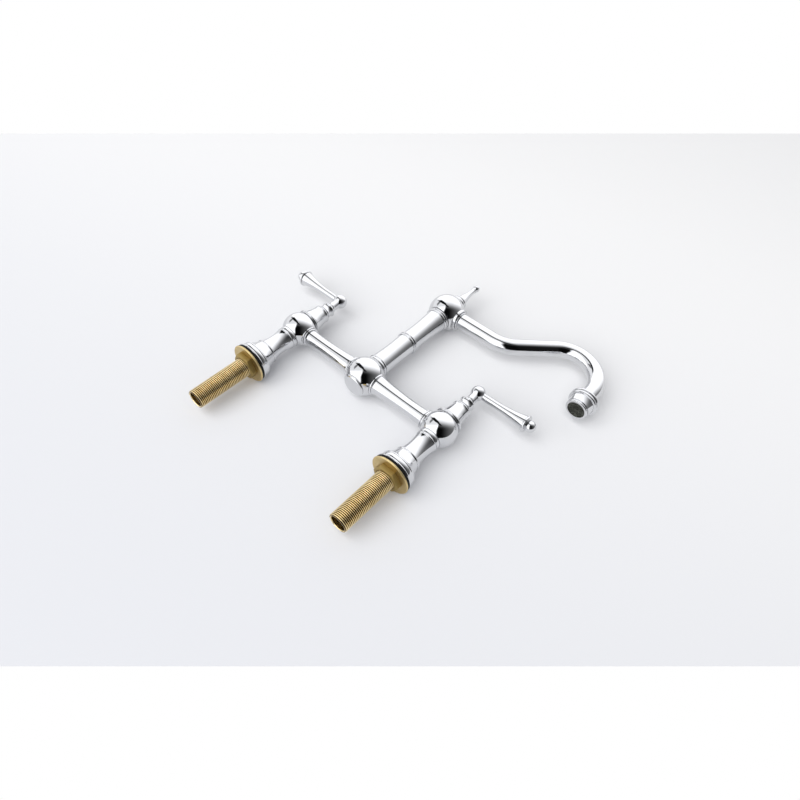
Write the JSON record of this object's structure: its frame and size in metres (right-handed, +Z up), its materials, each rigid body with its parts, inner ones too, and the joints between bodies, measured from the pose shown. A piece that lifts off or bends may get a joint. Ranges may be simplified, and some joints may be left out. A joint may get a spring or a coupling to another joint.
{
  "type": "basin mixer",
  "caption": "Deck-mounted bridge basin mixer with a swivelling swan-neck spout, lever handles, bell pillars and threaded shanks.",
  "frame": {"origin": "midway between the two tap holes, on the upper surface of the deck", "axes": "+Z up along the pillars, +X along the bridge towards the cold pillar, -Y towards the user"},
  "size_m": [0.3756, 0.0442, 0.3393],
  "materials": {
    "chrome": "mirror-bright chrome plate on brass",
    "brass": "machined satin brass",
    "black_rubber": "matt moulded rubber",
    "ceramic": "lapped white ceramic",
    "white_plastic": "moulded white plastic",
    "steel": "bright stainless steel"
  },
  "bodies": {
    "body": {"left_shank": "brass", "left_gasket": "black_rubber", "left_pillar": "chrome", "left_neck_collar": "chrome", "left_valve_ball": "chrome", "left_bonnet": "chrome", "left_arm": "chrome", "left_cartridge": "brass", "right_shank": "brass", "right_gasket": "black_rubber", "right_pillar": "chrome", "right_neck_collar": "chrome", "right_valve_ball": "chrome", "right_bonnet": "chrome", "right_arm": "chrome", "right_cartridge": "brass", "valve_rings": "chrome", "arm_rings": "chrome", "arm_end_rings": "chrome", "centre_ball": "chrome", "centre_plug": "chrome", "riser_foot_ring": "chrome", "lower_riser": "chrome", "riser_middle_ring": "chrome", "upper_riser": "chrome", "riser_top_ring": "chrome", "cartridge_seat_seals": "black_rubber", "arm_seals": "black_rubber", "fixed_discs": "ceramic", "thrust_washer": "white_plastic"},
    "left_clamp_washer": {"left_clamp_washer": "brass"},
    "right_clamp_washer": {"right_clamp_washer": "brass"},
    "left_backnut": {"left_backnut": "brass"},
    "right_backnut": {"right_backnut": "brass"},
    "hot_handle": {"left_turning_disc": "ceramic", "left_spindle": "brass", "left_spindle_seal": "black_rubber", "left_grub_screw": "steel", "left_hub": "chrome", "left_lever": "chrome", "left_lever_tip": "chrome"},
    "cold_handle": {"right_turning_disc": "ceramic", "right_spindle": "brass", "right_spindle_seal": "black_rubber", "right_grub_screw": "steel", "right_hub": "chrome", "right_lever": "chrome", "right_lever_tip": "chrome"},
    "spout": {"swivel_stem": "brass", "stem_seals": "black_rubber", "outlet_washer": "black_rubber", "top_ball": "chrome", "finial": "chrome", "spout_collar": "chrome", "spout_tube": "chrome", "spout_end": "chrome", "outlet_housing": "chrome", "outlet_mesh": "steel", "flow_insert": "white_plastic"}
  },
  "joints": [
    {"name": "spout_swivel", "type": "hinge", "parent": "body", "child": "spout", "pos_m": [0, 0, 0.18], "axis": [0, 0, -1], "continuous": true},
    {"name": "hot_lever", "type": "hinge", "parent": "body", "child": "hot_handle", "pos_m": [-0.1015, 0, 0.09], "axis": [0, 0, 1], "range_deg": [0, 90]},
    {"name": "cold_lever", "type": "hinge", "parent": "body", "child": "cold_handle", "pos_m": [0.1015, 0, 0.09], "axis": [0, 0, -1], "range_deg": [0, 90]},
    {"name": "left_nut_travel", "type": "slide", "parent": "body", "child": "left_clamp_washer", "axis": [0, 0, -1], "range_m": [0, 0.04897]},
    {"name": "left_nut_turn", "type": "hinge", "parent": "left_clamp_washer", "child": "left_backnut", "pos_m": [-0.1015, 0, -0.005], "axis": [0, 0, -1], "range_deg": [0, 9720]},
    {"name": "right_nut_travel", "type": "slide", "parent": "body", "child": "right_clamp_washer", "axis": [0, 0, -1], "range_m": [0, 0.04897]},
    {"name": "right_nut_turn", "type": "hinge", "parent": "right_clamp_washer", "child": "right_backnut", "pos_m": [0.1015, 0, -0.005], "axis": [0, 0, -1], "range_deg": [0, 9720]}
  ],
  "couplings": [
    {"joint": "left_nut_turn", "follows": "left_nut_travel", "rad_per_m": 3463.7},
    {"joint": "right_nut_turn", "follows": "right_nut_travel", "rad_per_m": 3463.7}
  ]
}
